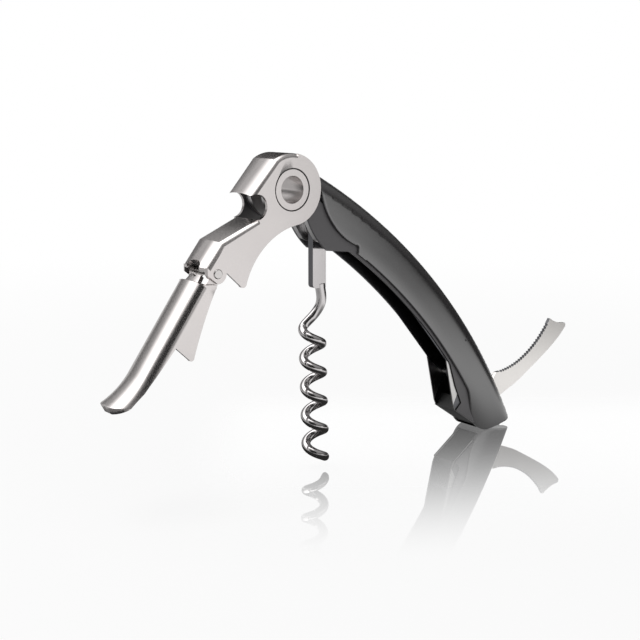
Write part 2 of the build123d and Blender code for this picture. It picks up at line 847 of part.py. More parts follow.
with BuildPart() as handle_cover:
    with BuildSketch(radial_plane(sweep_from)):
        add(crown_section(cover_out, back_radius, belly_radius - open_side_depth, crown_corner))
    revolve(axis=handle_axis, revolution_arc=sweep_arc)
    with BuildSketch(side_plane(lever_out)):
        with BuildLine():
            rail(belly_radius, cover_top_angle + 1, curl_start_angle)
            Spline(on_arc(belly_radius, curl_start_angle), *curl_points)
            Polyline(
                curl_points[-1],
                cover_toe,
                cover_back_corner,
                on_arc(clear_radius, angle_of(cover_back_corner)),
                (clear_radius, cover_top[1]),
                cover_top,
                on_arc(belly_radius, cover_top_angle + 1),
            )
        make_face()
    extrude(amount=2 * lever_out, mode=Mode.INTERSECT)
    add(cover_hollow.part, mode=Mode.SUBTRACT)
    # Recesses for the lever's head and for the lever when it is folded shut.
    with BuildSketch(side_plane(lever_out)):
        Circle(head_radius + recess_gap)
    extrude(amount=2 * lever_out, mode=Mode.SUBTRACT)
    with BuildSketch(lever_closed_plane.offset(-lever_out)):
        add(upper_lever_outline())
        offset(amount=recess_gap)
    extrude(amount=2 * lever_out, mode=Mode.SUBTRACT)
    # Slot that lets the knife out of the back.
    with BuildSketch(side_plane(slot_gap + knife_thick / 2)):
        with BuildLine():
            rail(back_radius - slot_depth, slot_top_angle, cover_end_angle)
            Polyline(
                under_back(slot_depth, cover_end_angle),
                on_arc(clear_radius, cover_end_angle),
                on_arc(clear_radius, slot_top_angle),
                under_back(slot_depth, slot_top_angle),
            )
        make_face()
    extrude(amount=2 * slot_gap + knife_thick, mode=Mode.SUBTRACT)
write(handle_cover, "handle_cover")

# ============================ knife ============================
# Short curved blade: scalloped on its hollow edge, with a scooped end.
edge_points = beyond(knife_pivot, knife_edge)
beak_points = beyond(knife_pivot, knife_beak)
spine_points = beyond(knife_pivot, knife_spine)
scoop_point, heel_point = beyond(knife_pivot, [knife_scoop, knife_heel])
hollow_edge = Spline(*edge_points, mode=Mode.PRIVATE)
tooth_step = tooth_pitch / hollow_edge.length
tooth_count = int((tooth_to - tooth_from) / tooth_step)
scallops = [hollow_edge @ (tooth_from + step * tooth_step) for step in range(tooth_count)]

with BuildPart() as knife_blade:
    with BuildSketch(side_plane(knife_thick / 2)):
        with BuildLine():
            Line(heel_point, edge_points[0])
            Spline(*edge_points)
            ThreePointArc(edge_points[-1], scoop_point, beak_points[0])
            ThreePointArc(*beak_points)
            Spline(beak_points[-1], *spine_points)
            Polyline(spine_points[-1], knife_pivot, heel_point)
        make_face()
        with Locations(knife_pivot):
            Circle(tang_radius)
            Circle(knife_pin_radius + running_fit, mode=Mode.SUBTRACT)
        with Locations(*scallops):
            Circle(tooth_radius, mode=Mode.SUBTRACT)
    extrude(amount=knife_thick)
write(knife_blade, "knife_blade")

# Leaf spring that bears on the knife's tang, rolled round the rivet that holds its upper end.
with BuildPart() as knife_spring:
    with BuildSketch(radial_plane(spring_end_angle)):
        with Locations((spring_radius + spring_thick / 2, 0)):
            Rectangle(spring_thick, 2 * spring_half_width)
    revolve(axis=handle_axis, revolution_arc=spring_top_angle - spring_end_angle)
    with BuildSketch(side_plane(spring_half_width)):
        with Locations(spring_rivet):
            Circle(spring_rivet_radius + spring_thick)
    extrude(amount=2 * spring_half_width)
    with BuildSketch(side_plane(spring_half_width)):
        with Locations(spring_rivet):
            Circle(spring_rivet_radius + seat_fit)
    extrude(amount=2 * spring_half_width, mode=Mode.SUBTRACT)
write(knife_spring, "knife_spring")
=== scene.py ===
"""Waiter's corkscrew with two hinged levers, a coiled worm and a folding foil knife.

Metres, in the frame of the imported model: the origin is the centre of the lever
axle, +X runs to the handle's foot, +Z is up and every pivot lies along Y.
"""
import json
from math import cos, radians, sin

import bmesh
import bpy
import numpy as np
from mathutils import Matrix, Vector


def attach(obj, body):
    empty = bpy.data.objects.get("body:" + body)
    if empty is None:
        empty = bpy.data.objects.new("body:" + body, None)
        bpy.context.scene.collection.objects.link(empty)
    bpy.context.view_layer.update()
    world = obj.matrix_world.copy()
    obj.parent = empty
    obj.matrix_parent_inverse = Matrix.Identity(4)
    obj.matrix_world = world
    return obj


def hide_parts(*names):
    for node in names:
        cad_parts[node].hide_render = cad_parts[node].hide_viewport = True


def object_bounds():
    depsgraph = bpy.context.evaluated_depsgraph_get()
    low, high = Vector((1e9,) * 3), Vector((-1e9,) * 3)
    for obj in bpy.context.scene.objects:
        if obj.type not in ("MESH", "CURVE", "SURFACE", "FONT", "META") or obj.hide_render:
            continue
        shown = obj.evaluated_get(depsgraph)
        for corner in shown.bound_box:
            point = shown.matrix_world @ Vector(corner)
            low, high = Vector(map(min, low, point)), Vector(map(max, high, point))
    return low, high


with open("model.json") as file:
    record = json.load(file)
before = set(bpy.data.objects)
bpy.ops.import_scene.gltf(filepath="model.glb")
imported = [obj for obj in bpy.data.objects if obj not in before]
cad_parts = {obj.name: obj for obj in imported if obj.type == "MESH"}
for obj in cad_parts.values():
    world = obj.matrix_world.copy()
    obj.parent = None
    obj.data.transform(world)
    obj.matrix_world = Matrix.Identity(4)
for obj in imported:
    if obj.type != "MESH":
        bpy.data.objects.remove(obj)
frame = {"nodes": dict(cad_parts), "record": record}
cad_box = [list(corner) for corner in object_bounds()]


# ---- Frame plates: the outer pair of side plates ----
# Two plates stamped from steel sheet, which stand out round the axle and run to the
# foot.  They are powder coated dark grey, with painted shade in black down the handle.

def new_group(name, inputs, outputs):
    """A shader group with float inputs {name: default} and outputs {name: socket type}.

    Returns the group and its two end nodes.
    """
    group = bpy.data.node_groups.new(name, "ShaderNodeTree")
    for label, value in inputs.items():
        socket = group.interface.new_socket(label, in_out="INPUT", socket_type="NodeSocketFloat")
        socket.default_value = value
    for label, kind in outputs.items():
        group.interface.new_socket(label, in_out="OUTPUT", socket_type=kind)
    return group, group.nodes.new("NodeGroupInput"), group.nodes.new("NodeGroupOutput")


def node(tree, kind, settings=None, **inputs):
    """Adds a shader node, sets its properties, and fills or links its inputs by name or number."""
    made = tree.nodes.new(kind)
    for key, value in (settings or {}).items():
        setattr(made, key, value)
    for key, value in inputs.items():
        socket = made.inputs[int(key[1:])] if key[1:].isdigit() else made.inputs[key.replace("_", " ")]
        if isinstance(value, bpy.types.NodeSocket):
            tree.links.new(value, socket)
        else:
            socket.default_value = value
    return made


def maths(tree, operation, first, second=0.0):
    """The result socket of a Math node."""
    return node(tree, "ShaderNodeMath", {"operation": operation}, _0=first, _1=second).outputs[0]


def grain_group():
    """Scratches: noise stretched along X, Y or Z by a scale vector, plus slow cloudy noise."""
    group, group_in, group_out = new_group(
        "sheet grain",
        {"Scratch X": 1.0, "Scratch Y": 1.0, "Scratch Z": 1.0, "Cloud Scale": 120.0},
        {"Scratch": "NodeSocketFloat", "Cloud": "NodeSocketFloat"})
    place = node(group, "ShaderNodeTexCoord").outputs["Object"]
    scale = node(group, "ShaderNodeCombineXYZ")
    for axis in "XYZ":
        group.links.new(group_in.outputs[f"Scratch {axis}"], scale.inputs[axis])
    stretched = node(group, "ShaderNodeVectorMath", {"operation": "MULTIPLY"}, _0=place, _1=scale.outputs[0])
    scratch = node(group, "ShaderNodeTexNoise", {"noise_dimensions": "3D"},
                   Vector=stretched.outputs[0], Scale=1.0, Detail=3.0, Roughness=0.6)
    cloud = node(group, "ShaderNodeTexNoise", {"noise_dimensions": "3D"},
                 Vector=place, Scale=group_in.outputs["Cloud Scale"], Detail=4.0, Roughness=0.55)
    group.links.new(scratch.outputs["Fac"], group_out.inputs["Scratch"])
    group.links.new(cloud.outputs["Fac"], group_out.inputs["Cloud"])
    return group


sheet_grain = grain_group()
scratch_depth = 0.00002


def place_grain(tree, scratch_scale, cloud_scale):
    """The grain group in a material, with its scratch pattern's scale along X, Y and Z."""
    return node(tree, "ShaderNodeGroup", {"node_tree": sheet_grain}, Scratch_X=scratch_scale[0],
                Scratch_Y=scratch_scale[1], Scratch_Z=scratch_scale[2], Cloud_Scale=cloud_scale)


def cloudy_tint(tree, grain, colour, darkest, brightest):
    """Base Color that drifts with the clouds between two shares of the colour."""
    dark = (*[channel * darkest for channel in colour], 1.0)
    bright = (*[min(1.0, channel * brightest) for channel in colour], 1.0)
    tint = node(tree, "ShaderNodeMix", {"data_type": "RGBA"}, Factor=grain.outputs["Cloud"],
                _6=dark, _7=bright)
    tree.links.new(tint.outputs[2], tree.nodes["Principled BSDF"].inputs["Base Color"])


def scratch_relief(tree, grain, strength):
    """A shallow bump that follows the scratches."""
    relief = node(tree, "ShaderNodeBump", Height=grain.outputs["Scratch"], Strength=strength,
                  Distance=scratch_depth)
    tree.links.new(relief.outputs[0], tree.nodes["Principled BSDF"].inputs["Normal"])


def coating(name, colour, roughness, skin_scale, skin_relief, specular=0.5):
    """A painted or moulded skin: fine orange-peel relief and slow changes of roughness.

    Roughness = roughness + cloud_share * (cloud - 1/2).
    """
    cloud_scale = 60.0
    cloud_share = 0.12
    made = bpy.data.materials.new(name)
    made.use_nodes = True
    tree = made.node_tree
    shader = tree.nodes["Principled BSDF"]
    shader.inputs["Metallic"].default_value = 0.0
    shader.inputs["Specular IOR Level"].default_value = specular
    grain = place_grain(tree, (skin_scale, skin_scale, skin_scale), cloud_scale)
    clouds = maths(tree, "MULTIPLY", grain.outputs["Cloud"], cloud_share)
    rough = maths(tree, "ADD", clouds, roughness - cloud_share / 2)
    tree.links.new(rough, shader.inputs["Roughness"])
    cloudy_tint(tree, grain, colour, darkest=0.9, brightest=1.12)
    scratch_relief(tree, grain, skin_relief)
    return made


merge_distance = 1e-7
flat_angle = radians(0.4)
corner_angle = radians(35.0)


def dress(name, material, edge):
    """Copies a CAD node's mesh, merges its triangles and rounds its sharp edges by edge metres."""
    mesh = frame["nodes"][name].data.copy()
    work = bmesh.new()
    work.from_mesh(mesh)
    bmesh.ops.remove_doubles(work, verts=work.verts, dist=merge_distance)
    if edge:
        bmesh.ops.dissolve_limit(work, angle_limit=flat_angle, verts=work.verts, edges=work.edges)
    work.to_mesh(mesh)
    work.free()
    piece = bpy.data.objects.new(f"{name}_piece", mesh)
    bpy.context.scene.collection.objects.link(piece)
    mesh.materials.clear()
    mesh.materials.append(material)
    mesh.shade_smooth()
    if edge:
        rounding = piece.modifiers.new("tumbled edge", "BEVEL")
        rounding.width = edge
        rounding.segments = 3
        rounding.limit_method = "ANGLE"
        rounding.angle_limit = corner_angle
        rounding.harden_normals = True
        rounding.use_clamp_overlap = True
        mesh.set_sharp_from_angle(angle=corner_angle)
    body = next(b for b, nodes in frame["record"]["behaviour"]["bodies"].items() if name in nodes)
    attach(piece, body)
    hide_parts(name)
    return piece


def second_finish(piece, material, chosen):
    """Gives the faces where chosen(centres, normals) is true a second material, as whole arrays."""
    mesh = piece.data
    centres = np.empty(len(mesh.polygons) * 3)
    normals = np.empty(len(mesh.polygons) * 3)
    mesh.polygons.foreach_get("center", centres)
    mesh.polygons.foreach_get("normal", normals)
    picked = chosen(centres.reshape(-1, 3), normals.reshape(-1, 3))
    mesh.materials.append(material)
    mesh.polygons.foreach_set("material_index", picked.astype(np.int32))


frame_grey = coating("frame grey", colour=(0.080, 0.077, 0.080), roughness=0.40, skin_scale=7000.0,
                     skin_relief=0.35)
inner_black = coating("inner black", colour=(0.004, 0.004, 0.004), roughness=0.5, skin_scale=5000.0,
                      skin_relief=0.3)
plate_edge = 0.00006
frame_painted_shade_from = 0.048
for name in ("frame_near", "frame_far"):
    plate = dress(name, frame_grey, plate_edge)
    # Faces beyond frame_painted_shade_from get the black coating: painted shade towards the foot.
    second_finish(plate, inner_black, lambda centres, normals: centres[:, 0] > frame_painted_shade_from)


# ---- Liners: the bright plates inside the frame ----
# Two thin plates of bright rolled stainless sheet, clamped between frame and cheek.
# They stand a little proud of the frame at the foot only, and carry painted shade above it.

def steel(name, colour, roughness, scratch_scale, relief=0.15, spread=0.10):
    """A metal whose roughness and colour vary with the grain.

    Roughness = roughness + spread * (scratch - 1/2) + spread * cloud_share * cloud.
    scratch_scale: the scale of its scratches along X, Y and Z, per metre.
    """
    cloud_scale = 120.0
    cloud_share = 0.6
    made = bpy.data.materials.new(name)
    made.use_nodes = True
    tree = made.node_tree
    shader = tree.nodes["Principled BSDF"]
    shader.inputs["Metallic"].default_value = 1.0
    grain = place_grain(tree, scratch_scale, cloud_scale)
    scratches = maths(tree, "MULTIPLY", grain.outputs["Scratch"], spread)
    clouds = maths(tree, "MULTIPLY", grain.outputs["Cloud"], spread * cloud_share)
    rough = maths(tree, "ADD", maths(tree, "ADD", scratches, roughness - spread / 2), clouds)
    tree.links.new(rough, shader.inputs["Roughness"])
    cloudy_tint(tree, grain, colour, darkest=0.93, brightest=1.05)
    scratch_relief(tree, grain, relief)
    return made


def points_of(mesh):
    """The mesh's points, as an array of rows x, y, z."""
    points = np.empty(len(mesh.vertices) * 3)
    mesh.vertices.foreach_get("co", points)
    return points.reshape(-1, 3)


def place_points(mesh, points):
    """Puts an array of rows x, y, z back into the mesh."""
    mesh.vertices.foreach_set("co", points.ravel())
    mesh.update()


back_radius = 0.193
axle_depth = 0.0081
axle_angle = radians(64.43)
arc_centre = -(back_radius - axle_depth) * np.array((cos(axle_angle), sin(axle_angle)))


def handle_polar(points):
    """Depth under the handle's back and angle in degrees about its centre, for rows x, y, z."""
    offset = points[:, [0, 2]] - arc_centre
    depth = back_radius - np.hypot(offset[:, 0], offset[:, 1])
    return depth, np.degrees(np.arctan2(offset[:, 1], offset[:, 0]))


plate_scratches = (1500.0, 9000.0, 1500.0)
liner_steel = steel("liner steel", colour=(0.66, 0.65, 0.64), roughness=0.30, scratch_scale=plate_scratches)
# Dark hardened steel for the knife spring and the knife's teeth, also used as painted shade on the liners and
# the worm's shank.
spring_steel_and_shade = steel("spring steel and shade", colour=(0.17, 0.17, 0.18), roughness=0.35, scratch_scale=plate_scratches)
lip_depth = 0.0138
toe_depth = 0.02002
flare_angles = (33.47, 38.12, 45.2)
flare_depths = (toe_depth, 0.01594, lip_depth)
shown_depths = (toe_depth, 0.0141, lip_depth)
flare_from = 33.0
liner_painted_shade_above = -0.056
smallest_flare = 1e-6


def narrow_flare(mesh):
    """Draws the proud strip towards the back, in the share of shown depth to the solid's depth."""
    points = points_of(mesh)
    depth, angle = handle_polar(points)
    proud = np.maximum(np.interp(angle, flare_angles, flare_depths) - lip_depth, smallest_flare)
    shown = np.interp(angle, flare_angles, shown_depths) - lip_depth
    in_strip = (angle > flare_from) & (angle < flare_angles[-1]) & (depth > lip_depth)
    less = np.where(in_strip, (depth - lip_depth) * (1.0 - shown / proud), 0.0)
    points[:, 0] += less * np.cos(np.radians(angle))
    points[:, 2] += less * np.sin(np.radians(angle))
    place_points(mesh, points)


for name in ("liner_near", "liner_far"):
    liner = dress(name, liner_steel, plate_edge)
    narrow_flare(liner.data)
    # Faces above liner_painted_shade_above get the dark steel: painted shade inside the channel.
    second_finish(liner, spring_steel_and_shade, lambda centres, normals: centres[:, 2] > liner_painted_shade_above)


# ---- Cheeks: the inner ear plates ----
# Two thick plates of plain stamped steel.  They carry the axle's sleeve and the
# worm's pin, and are tumbled like the rest of the stamped parts.

plate_steel = steel("plate steel", colour=(0.62, 0.61, 0.61), roughness=0.32, scratch_scale=plate_scratches)
turned_edge = 0.00008
for name in ("cheek_near", "cheek_far"):
    dress(name, plate_steel, turned_edge)


# ---- Foot block, channel floor, pins, washers and knife spring ----
# The block and the floor are black mouldings held between the plates.  Pins and
# washers are plain turned steel, and the leaf spring is dark hardened strip.

def finish_node(name, material):
    """Gives a CAD node that stays as it is the material in every slot."""
    mesh = frame["nodes"][name].data
    mesh.materials.clear()
    mesh.materials.append(material)


for name in ("foot_block", "channel_floor"):
    finish_node(name, inner_black)
for name in ("worm_pin", "worm_washer_near", "worm_washer_far", "knife_pin", "knife_washer_near",
             "knife_washer_far", "spring_pin"):
    finish_node(name, plate_steel)
finish_node("knife_spring", spring_steel_and_shade)


# ---- Cover: the black shell over the handle ----
# One black moulding with a satin skin, seated over the frame plates.  Its sides are
# softly crowned: they lean in towards the back and towards the belly.

def split_long(mesh, length):
    """Splits edges longer than this, in a few rounds.  Edges of the thinnest slivers stay longer."""
    most_rounds = 8
    work = bmesh.new()
    work.from_mesh(mesh)
    bmesh.ops.triangulate(work, faces=work.faces)
    for _ in range(most_rounds):
        long_edges = [edge for edge in work.edges if edge.calc_length() > length]
        if not long_edges:
            break
        bmesh.ops.subdivide_edges(work, edges=long_edges, cuts=1)
        bmesh.ops.triangulate(work, faces=work.faces)
    work.to_mesh(mesh)
    work.free()


def crown_cover(mesh):
    """Leans the sides in: y shrinks by lean_in * min(|depth - middle| / reach, most)^3."""
    lean_in = 0.00085
    middle_depth = 0.0080
    reach = 0.0075
    most = 1.07
    side_width = 0.00575
    side_from = 0.0030
    points = points_of(mesh)
    depth, _ = handle_polar(points)
    fall = lean_in * np.clip(np.abs(depth - middle_depth) / reach, 0.0, most) ** 3
    points[:, 1] *= np.where(np.abs(points[:, 1]) > side_from, 1.0 - fall / side_width, 1.0)
    place_points(mesh, points)


cover_black = coating("cover black", colour=(0.016, 0.0145, 0.015), roughness=0.25, skin_scale=4500.0,
                      skin_relief=0.06, specular=1.0)
cover_black.node_tree.nodes["Principled BSDF"].inputs["IOR"].default_value = 1.8
cover_facet = 0.0009
cover_corner = radians(52.0)
cover = dress("handle_cover", cover_black, 0.0)
split_long(cover.data, cover_facet)
crown_cover(cover.data)
cover.data.shade_smooth()
cover.data.set_sharp_from_angle(angle=cover_corner)


# ---- Axle: the sleeve the levers turn on, and its ring ----
# A turned stainless tube with a flange on the near side.  The ring is pressed on
# its far end, and both are polished like the levers.

lever_sheet = steel("lever sheet", colour=(0.67, 0.635, 0.625), roughness=0.24,
                    scratch_scale=(900.0, 6000.0, 6000.0), relief=0.04, spread=0.06)
for name in ("axle_sleeve", "axle_ring"):
    dress(name, lever_sheet, turned_edge)


# ---- Upper lever: the folded sheet with the cap lifter and the first step ----
# Stainless sheet, stamped, folded to a channel and polished outside.  Folding leaves
# its web slightly crowned, and the inside of the channel carries painted shade.

def crown_sheet(piece, web, reach, flat_half):
    """Bows a folded sheet: its web falls away towards both bends, as pressing leaves it.

    web: points (x, z, fall) along the outside of the web, with the piece on its left.
    A point moves inwards by fall * (side^2 - crown_level) * near.  side runs from 0 at
    flat_half to 1 at the lever's side, near from 1 on the outside to 0 at reach below.
    """
    crown_level = 0.6
    steps_between = 24
    cut_count = 13
    cut_reach = 0.85 * lever_half_width
    web = np.array(web)
    steps = np.concatenate([np.linspace(start, stop, steps_between, endpoint=False)
                            for start, stop in zip(web, web[1:])])
    line, fall = steps[:, :2], steps[:, 2]
    runs = np.diff(np.vstack([line, web[-1:, :2]]), axis=0)
    runs /= np.linalg.norm(runs, axis=1)[:, None]
    inwards = np.stack([-runs[:, 1], runs[:, 0]], axis=1)
    work = bmesh.new()
    work.from_mesh(piece.data)
    for cut in np.linspace(-cut_reach, cut_reach, cut_count):
        bmesh.ops.bisect_plane(work, geom=work.verts[:] + work.edges[:] + work.faces[:], dist=merge_distance,
                               plane_co=(0.0, cut, 0.0), plane_no=(0.0, 1.0, 0.0))
    work.to_mesh(piece.data)
    work.free()
    points = points_of(piece.data)
    flat = points[:, [0, 2]]
    gaps = np.linalg.norm(flat[:, None, :] - line[None, :, :], axis=2)
    nearest = gaps.argmin(axis=1)
    depth = np.clip(np.einsum("ij,ij->i", flat - line[nearest], inwards[nearest]), 0.0, None)
    near = np.clip(1.0 - depth / reach, 0.0, 1.0) * (gaps.min(axis=1) < reach)
    side = np.clip((np.abs(points[:, 1]) - flat_half) / (lever_half_width - flat_half), 0.0, 1.0)
    points[:, [0, 2]] += inwards[nearest] * (fall[nearest] * (side ** 2 - crown_level) * near)[:, None]
    place_points(piece.data, points)
    piece.data.shade_smooth()


def inside_web(web, centres):
    """True for face centres between the side plates that lie deeper under the web than lever_skin."""
    points = np.array(web)[:, :2]
    runs = np.diff(points, axis=0)
    runs /= np.linalg.norm(runs, axis=1)[:, None]
    inwards = np.stack([-runs[:, 1], runs[:, 0]], axis=1)
    middles = (points[1:] + points[:-1]) / 2
    flat = centres[:, [0, 2]]
    nearest = np.linalg.norm(flat[:, None, :] - middles[None, :, :], axis=2).argmin(axis=1)
    depth = np.einsum("ij,ij->i", flat - points[nearest], inwards[nearest])
    return (np.abs(centres[:, 1]) < lever_inner_half) & (depth > lever_skin)


def around(centre, radius, angle):
    """Point of the side view at this radius and angle in degrees from a centre."""
    return (centre[0] + radius * cos(radians(angle)), centre[1] + radius * sin(radians(angle)))


def lower_arch(mesh, share):
    """Makes the arch in the end of the web less high, as a share of its height."""
    arch_half_width = 0.00295
    arch_reach = (-0.0001, 0.0034)
    arch_skin = 0.0011
    run = np.array(web_knee) - np.array(web_end)
    run /= np.hypot(*run)
    inward = np.array((run[1], -run[0]))
    points = points_of(mesh)
    offset = points[:, [0, 2]] - np.array(web_end)
    height = offset @ run
    in_arch = ((np.abs(points[:, 1]) < arch_half_width) & (height > arch_reach[0]) & (height < arch_reach[1])
               & (offset @ inward < arch_skin))
    points[:, [0, 2]] -= np.where(in_arch, height * (1.0 - share), 0.0)[:, None] * run
    place_points(mesh, points)


lever_half_width = 0.00585
lever_inner_half = 0.00495
lever_skin = 0.0008
lever_edge = 0.00012
axle = (0.0, 0.0)
head_radius = 0.0097
head_angles = (85, 92, 100, 108, 115)
crown_start_angle = 122.4
nose_tip = (-0.0133, -0.0009)
notch_end = (-0.0112, -0.00745)
web_knee = (-0.0229, -0.0125)
web_end = (-0.0278, -0.0187)
web_foot = (-0.0278, -0.0207)
shoulder = [(*notch_end, 0.00005), (-0.0205, -0.01146, 0.00005), (*web_knee, 0.0005), (*web_end, 0.0010),
            (*web_foot, 0.0010)]
nose = [(*around(axle, head_radius, angle), 0.0) for angle in head_angles]
nose += [(*around(axle, head_radius, crown_start_angle), 0.0002), (-0.0060, 0.0073, 0.0009),
         (*nose_tip, 0.0011)]
upper_crown_reach = 0.003
upper_flat_half = 0.001
arch_share = 0.5
flange_seat_radius = 0.00586
flange_seat_half = 0.0058
notch_height = -0.0045
upper_lever = dress("upper_lever", lever_sheet, lever_edge)
crown_sheet(upper_lever, shoulder, upper_crown_reach, upper_flat_half)
crown_sheet(upper_lever, nose, upper_crown_reach, upper_flat_half)
lower_arch(upper_lever.data, arch_share)


def inside_upper(centres, normals):
    """True inside the flange's seat and inside the channel, above and below the notch."""
    in_seat = ((np.hypot(centres[:, 0], centres[:, 2]) < flange_seat_radius)
               & (np.abs(centres[:, 1]) < flange_seat_half))
    in_channel = np.where(centres[:, 2] > notch_height, inside_web(nose, centres),
                          inside_web(shoulder, centres))
    return in_seat | in_channel


# Dark steel inside the channel and the flange's seat: painted shade.
channel_shade_steel = steel("painted shade inside", colour=(0.16, 0.155, 0.155), roughness=0.5,
                  scratch_scale=(1500.0, 1500.0, 1500.0))
second_finish(upper_lever, channel_shade_steel, inside_upper)


# ---- Hinge rivet: the pivot of the lever's knuckle ----
# A soft steel rivet through both levers, with a low head formed over on each side.
# Its heads keep the fine marks of the forming tool.

rivet_steel = steel("rivet steel", colour=(0.62, 0.60, 0.59), roughness=0.22,
                    scratch_scale=(3000.0, 3000.0, 3000.0))
dress("hinge_rivet", rivet_steel, turned_edge)


# ---- Lower lever: the folded sheet with the second step and the curled end ----
# The same polished sheet, folded to a narrower neck that nests in the upper lever.
# Its tub is crowned, and its far end curls over to a blunt lip.

curl_centre = (-0.06271, -0.03263)
curl_radius = 0.0212
curl_angles = (-42, -50, -58, -68.9)
tub_fall = 0.0016
tub_shoulder = (-0.0294, -0.0226)
tub_curl = (-0.0455, -0.0450)
tub_lip = (-0.0559, -0.0531)
tub = [(*tub_shoulder, tub_fall), (*tub_curl, tub_fall)]
tub += [(*around(curl_centre, curl_radius, angle), tub_fall) for angle in curl_angles]
tub += [(*tub_lip, tub_fall)]
tub_crown_reach = 0.004
tub_flat_half = 0.0005
tub_from_height = -0.0245
lower_lever = dress("lower_lever", lever_sheet, lever_edge)
crown_sheet(lower_lever, tub, tub_crown_reach, tub_flat_half)
lever_points = points_of(lower_lever.data)
lever_points[:, 0] = np.maximum(lever_points[:, 0], cad_box[0][0])
place_points(lower_lever.data, lever_points)
# The inside of the tub's channel gets the dark steel: painted shade.
second_finish(lower_lever, channel_shade_steel, lambda centres, normals: (
    (centres[:, 2] < tub_from_height) & inside_web(tub, centres)))


# ---- Worm: flat shank with an eye, drawn out into a wire coiled to the left ----
# Hard polished steel, flat at its shank, with an eye for its pin.  The wire leaves the
# shank's corner, swings over, coils down and ends in a short ground point.

def hermite(knots, steps):
    """Points of a cubic path through knots of place and leaving direction, as whole arrays.

    Between two knots it is (2t^3 - 3t^2 + 1) start + (t^3 - 2t^2 + t) leave
    + (3t^2 - 2t^3) stop + (t^3 - t^2) arrive, for t from 0 up to 1.
    """
    t = np.linspace(0.0, 1.0, steps, endpoint=False)[:, None]
    return np.vstack([(2 * t**3 - 3 * t**2 + 1) * start + (t**3 - 2 * t**2 + t) * leave
                      + (3 * t**2 - 2 * t**3) * stop + (t**3 - t**2) * arrive
                      for (start, leave), (stop, arrive) in zip(knots, knots[1:])])


def wire_tube(path, radii, sides):
    """Mesh of a round tube along a path, closed at its end.

    Each ring is path + radius * (cos(turn) across + sin(turn) beside), where across is
    carried along without twist and beside stands square to it and to the path.
    """
    tangents = np.gradient(path, axis=0)
    tangents /= np.linalg.norm(tangents, axis=1)[:, None]
    across = [np.cross(tangents[0], (0.0, 1.0, 0.0))]
    for tangent in tangents:
        square = across[-1] - tangent * (across[-1] @ tangent)
        across.append(square / np.linalg.norm(square))
    across = np.array(across[1:])
    beside = np.cross(tangents, across)
    turn = np.linspace(0.0, 2.0 * np.pi, sides, endpoint=False)[None, :, None]
    round_way = np.cos(turn) * across[:, None] + np.sin(turn) * beside[:, None]
    rings = path[:, None] + radii[:, None, None] * round_way
    corner = np.arange(sides)
    before = np.roll(corner, 1)
    first = np.arange(len(path) - 1)[:, None] * sides
    quads = np.stack([first + corner, first + before, first + sides + before, first + sides + corner], axis=2)
    end_cap = (len(path) - 1) * sides + corner
    tube = bpy.data.meshes.new("worm wire")
    tube.from_pydata(rings.reshape(-1, 3).tolist(), [], quads.reshape(-1, 4).tolist() + [end_cap.tolist()])
    return tube


shank_low = -0.02872
shank_edge = 0.00025
coil_axis_x = 0.01115
coil_start = -0.0405
coil_pitch = 0.00855
coil_radius = 0.00272
coil_turns = 4.58
coil_phase = 141.5
coil_lean = radians(1.8)
coil_steps = 560
down = np.array((sin(coil_lean), 0.0, -cos(coil_lean)))
lean_side = np.array((cos(coil_lean), 0.0, sin(coil_lean)))
turns = np.linspace(0.0, coil_turns, coil_steps)
phase = np.radians(coil_phase + 360.0 * turns)
coil = (np.array((coil_axis_x, 0.0, coil_start)) + np.outer(coil_pitch * turns, down)
        + coil_radius * (np.outer(np.cos(phase), lean_side) + np.outer(np.sin(phase), (0.0, 1.0, 0.0))))
coil_leave = (coil[1] - coil[0]) / np.linalg.norm(coil[1] - coil[0])
lead_pull = 0.005
lead_knots = [((0.01395, 0.0, -0.0276), (0.0003, 0.0, -0.0050)),
              ((0.01445, 0.0, -0.0325), (-0.0003, 0.0004, -0.0052)),
              ((0.0123, 0.0013, -0.03715), (-0.0036, 0.0009, -0.0036)),
              (coil[0], coil_leave * lead_pull)]
lead_steps = 30
wire_path = np.vstack([hermite(lead_knots, lead_steps), coil])
stretches = np.linalg.norm(np.diff(wire_path, axis=0), axis=1)
to_point = stretches.sum() - np.concatenate([[0.0], np.cumsum(stretches)])
wire_steps = (0, 40, 90)
wire_radii = (0.0015, 0.00142, 0.00132)
point_length = 0.0026
point_blunt = 0.10
wire_sides = 32
swell = np.interp(np.arange(len(wire_path)), wire_steps, wire_radii)
taper = np.sqrt(1.0 - (1.0 - np.clip(to_point / point_length, 0.0, 1.0)) ** 2)
wire = wire_tube(wire_path, swell * (point_blunt + (1.0 - point_blunt) * taper), wire_sides)

worm_steel = steel("worm steel", colour=(0.56, 0.54, 0.54), roughness=0.12,
                   scratch_scale=(2500.0, 2500.0, 2500.0), relief=0.12, spread=0.06)
worm = dress("worm", worm_steel, shank_edge)
work = bmesh.new()
work.from_mesh(worm.data)
wire_faces = [face for face in work.faces if face.calc_center_median().z < shank_low]
bmesh.ops.delete(work, geom=wire_faces, context="FACES")
work.from_mesh(wire)
bmesh.ops.recalc_face_normals(work, faces=work.faces)
work.to_mesh(worm.data)
work.free()
bpy.data.meshes.remove(wire)
worm_corner = radians(40.0)
shank_shade_side_on = -0.9
worm.data.shade_smooth()
worm.data.set_sharp_from_angle(angle=worm_corner)
# The shank's faces towards -X get the dark steel: painted shade on that side.
second_finish(worm, spring_steel_and_shade, lambda centres, normals: (
    (normals[:, 0] < shank_shade_side_on) & (centres[:, 2] > shank_low)))
flat_faces = worm.modifiers.new("flat faces", "WEIGHTED_NORMAL")
flat_faces.keep_sharp = True


# ---- Knife blade: the folding foil cutter ----
# Blanked from hardened stainless strip and brushed along its length.  Its teeth are
# ground into the hollow edge and stay darker than the flat.

